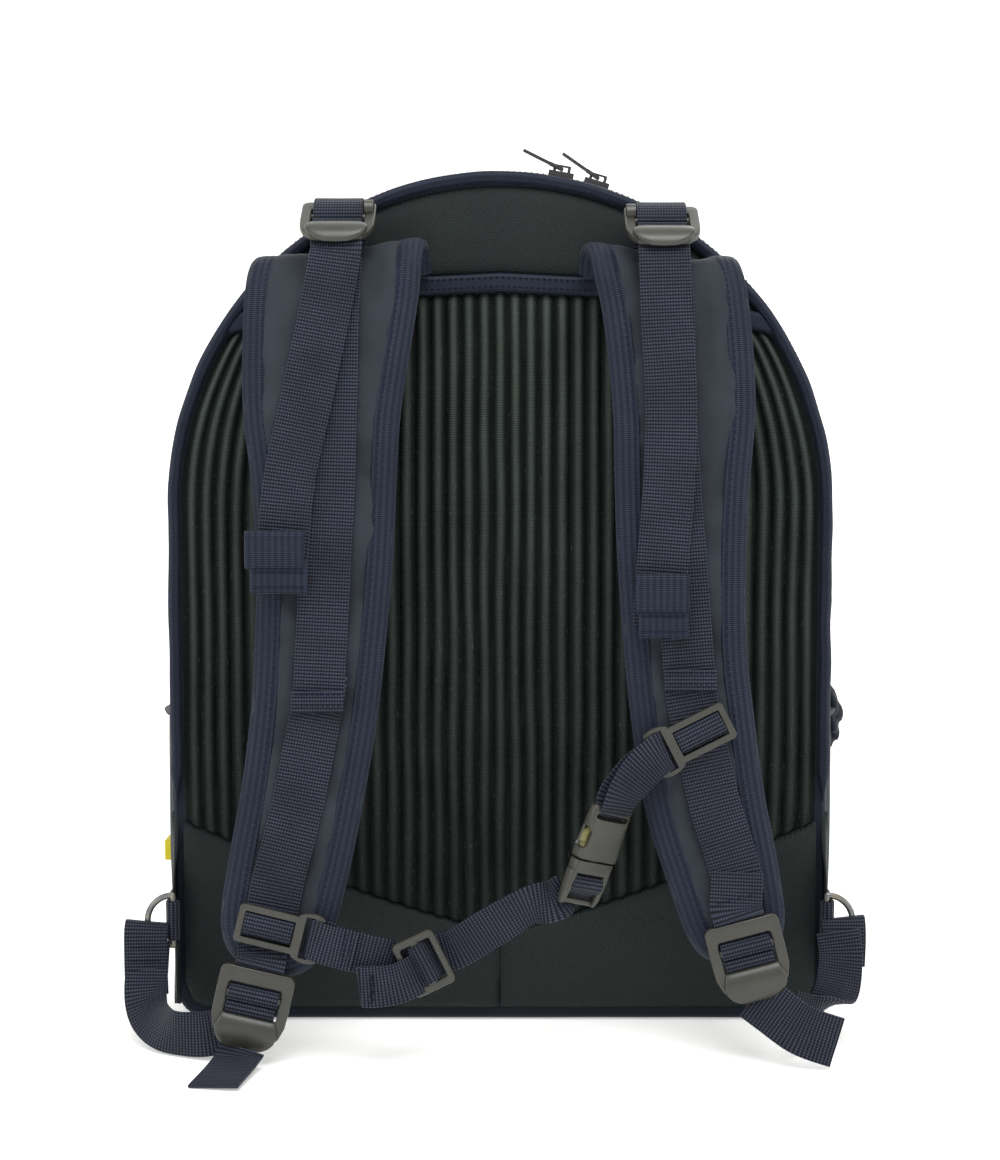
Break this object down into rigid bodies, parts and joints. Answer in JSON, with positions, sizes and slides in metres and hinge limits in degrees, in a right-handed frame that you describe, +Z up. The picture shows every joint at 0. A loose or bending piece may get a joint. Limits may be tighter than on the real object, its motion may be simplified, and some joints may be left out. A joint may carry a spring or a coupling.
{
  "type": "solar backpack",
  "caption": "Day pack with a curved top, ribbed back panel, padded shoulder straps joined by a buckled sternum strap, and a solar panel charging a power bank on the front.",
  "frame": {"origin": "middle of the flat base, on the surface that the pack stands on", "axes": "+Z up, -Y towards the wearer (harness side), +Y towards the solar panel, +X to the right when looking at the harness side"},
  "size_m": [0.3757, 0.2767, 0.4514],
  "materials": {
    "body_fabric": "woven polyester, matt",
    "grained_fabric": "coated fabric with a fine crossed grain",
    "mesh": "ribbed spacer mesh",
    "pad_fabric": "smooth knit over foam",
    "navy_webbing": "ribbed nylon webbing, slight sheen",
    "binding": "ribbed tape",
    "hardware_plastic": "acetal, satin",
    "gunmetal": "dark plated metal",
    "foam": "closed-cell foam",
    "board": "polythene sheet",
    "solar_cell": "crystalline cells",
    "clear_film": "clear film",
    "power_case": "moulded case",
    "cable": "lead jacket",
    "yellow_fabric": "woven label tape"
  },
  "bodies": {
    "pack": {"main_shell": "body_fabric", "front_panel": "body_fabric", "base_board": "board", "frame_sheet": "board", "back_foam": "foam", "back_mesh": "mesh", "yoke_panel": "grained_fabric", "top_binding": "binding", "lower_back_panel": "grained_fabric", "edge_piping": "binding", "zip_tape": "binding", "front_pocket": "body_fabric", "solar_bezel": "body_fabric", "solar_backing": "board", "solar_cells": "solar_cell", "solar_film": "clear_film", "junction_box": "hardware_plastic", "panel_lead": "cable", "power_bank": "power_case", "usb_lead": "cable", "usb_port": "hardware_plastic", "laptop_sleeve": "body_fabric", "side_pocket_left": "body_fabric", "side_pocket_right": "body_fabric", "side_tab": "yellow_fabric", "wing_left": "grained_fabric", "wing_right": "grained_fabric", "ring_tab_left": "navy_webbing", "ring_tab_right": "navy_webbing", "lifter_anchor_left": "navy_webbing", "lifter_anchor_right": "navy_webbing", "lower_webbing_left": "navy_webbing", "lower_webbing_right": "navy_webbing"},
    "zip_slider_left": {"zip_slider_left": "gunmetal"},
    "zip_slider_right": {"zip_slider_right": "gunmetal"},
    "zip_pull_left": {"zip_pull_left": "gunmetal"},
    "zip_pull_right": {"zip_pull_right": "gunmetal"},
    "d_ring_left": {"d_ring_left": "gunmetal"},
    "d_ring_right": {"d_ring_right": "gunmetal"},
    "strap_left": {"shoulder_pad_left": "pad_fabric", "rail_webbing_left": "navy_webbing", "lifter_tail_left": "navy_webbing"},
    "strap_right": {"shoulder_pad_right": "pad_fabric", "rail_webbing_right": "navy_webbing", "lifter_tail_right": "navy_webbing"},
    "lifter_lock_left": {"lifter_lock_left": "hardware_plastic"},
    "lifter_lock_right": {"lifter_lock_right": "hardware_plastic"},
    "strap_lock_left": {"strap_lock_left": "hardware_plastic", "lower_tail_left": "navy_webbing"},
    "strap_lock_right": {"strap_lock_right": "hardware_plastic", "lower_tail_right": "navy_webbing"},
    "sternum_slider_left": {"sternum_slider_left": "hardware_plastic", "sternum_webbing_left": "navy_webbing"},
    "sternum_slider_right": {"sternum_slider_right": "hardware_plastic", "sternum_webbing_right": "navy_webbing", "buckle_female": "hardware_plastic"},
    "sternum_triglide": {"sternum_triglide": "hardware_plastic"},
    "buckle_male": {"buckle_male": "hardware_plastic"},
    "buckle_prong_left": {"buckle_prong_left": "hardware_plastic"},
    "buckle_prong_right": {"buckle_prong_right": "hardware_plastic"}
  },
  "joints": [
    {"name": "zip_left_travel", "type": "hinge", "parent": "pack", "child": "zip_slider_left", "pos_m": [0, -0.056, 0.268], "axis": [0, 1, 0], "range_deg": [-98, 0]},
    {"name": "zip_right_travel", "type": "hinge", "parent": "pack", "child": "zip_slider_right", "pos_m": [0, -0.056, 0.268], "axis": [0, 1, 0], "range_deg": [0, 72]},
    {"name": "zip_left_pull_flip", "type": "hinge", "parent": "zip_slider_left", "child": "zip_pull_left", "pos_m": [0.03177, -0.056, 0.44111], "axis": [0, 1, 0], "range_deg": [-8, 48]},
    {"name": "zip_right_pull_flip", "type": "hinge", "parent": "zip_slider_right", "child": "zip_pull_right", "pos_m": [0.05028, -0.056, 0.43666], "axis": [0, 1, 0], "range_deg": [-4, 110]},
    {"name": "d_ring_left_swing", "type": "hinge", "parent": "pack", "child": "d_ring_left", "pos_m": [-0.168, -0.088, 0.057], "axis": [0, 0, 1], "range_deg": [-20, 20]},
    {"name": "d_ring_right_swing", "type": "hinge", "parent": "pack", "child": "d_ring_right", "pos_m": [0.168, -0.088, 0.057], "axis": [0, 0, 1], "range_deg": [-20, 20]},
    {"name": "strap_left_swing", "type": "hinge", "parent": "pack", "child": "strap_left", "pos_m": [0, -0.08, 0.384], "axis": [-1, 0, 0], "range_deg": [0, 12], "deforming": ["rail_webbing_left", "lifter_tail_left", "lower_webbing_left", "lifter_anchor_left"]},
    {"name": "strap_right_swing", "type": "hinge", "parent": "pack", "child": "strap_right", "pos_m": [0, -0.08, 0.384], "axis": [-1, 0, 0], "range_deg": [0, 12], "deforming": ["rail_webbing_right", "lifter_tail_right", "lower_webbing_right", "lifter_anchor_right"]},
    {"name": "lifter_lock_left_tilt", "type": "hinge", "parent": "pack", "child": "lifter_lock_left", "pos_m": [-0.08, -0.08884, 0.41925], "axis": [1, 0, 0], "range_deg": [-10, 13]},
    {"name": "lifter_lock_right_tilt", "type": "hinge", "parent": "pack", "child": "lifter_lock_right", "pos_m": [0.08, -0.08884, 0.41725], "axis": [1, 0, 0], "range_deg": [-10, 13]},
    {"name": "strap_lock_left_tilt", "type": "hinge", "parent": "strap_left", "child": "strap_lock_left", "pos_m": [-0.11756, -0.1485, 0.04505], "axis": [-1, 0, 0], "range_deg": [0, 35], "deforming": ["lower_tail_left"]},
    {"name": "strap_lock_right_tilt", "type": "hinge", "parent": "strap_right", "child": "strap_lock_right", "pos_m": [0.11697, -0.1475, 0.0689], "axis": [-1, 0, 0], "range_deg": [0, 35], "deforming": ["lower_tail_right"]},
    {"name": "sternum_left_height", "type": "slide", "parent": "strap_left", "child": "sternum_slider_left", "axis": [0, 0, 1], "range_m": [0, 0.012], "deforming": ["sternum_webbing_left"]},
    {"name": "sternum_right_height", "type": "slide", "parent": "strap_right", "child": "sternum_slider_right", "axis": [0, 0, 1], "range_m": [0, 0.012], "deforming": ["sternum_webbing_right"]},
    {"name": "triglide_adjust", "type": "slide", "parent": "sternum_slider_left", "child": "sternum_triglide", "axis": [0.8988, 0, 0.4384], "range_m": [0, 0.02]},
    {"name": "buckle_release", "type": "slide", "parent": "sternum_slider_left", "child": "buckle_male", "axis": [-0.342, 0, -0.9397], "range_m": [0, 0.03]},
    {"name": "prong_left_press", "type": "hinge", "parent": "buckle_male", "child": "buckle_prong_left", "pos_m": [0.039, -0.14898, 0.10427], "axis": [-0.5785, 0.788, 0.2106], "range_deg": [0, 8], "stiffness_Nm_per_rad": 0.02},
    {"name": "prong_right_press", "type": "hinge", "parent": "buckle_male", "child": "buckle_prong_right", "pos_m": [0.05218, -0.13802, 0.09947], "axis": [0.5785, -0.788, -0.2106], "range_deg": [0, 8], "stiffness_Nm_per_rad": 0.02}
  ],
  "couplings": [
    {"joint": "strap_right_swing", "follows": "strap_left_swing", "ratio": 1},
    {"joint": "sternum_right_height", "follows": "sternum_left_height", "ratio": 1}
  ]
}
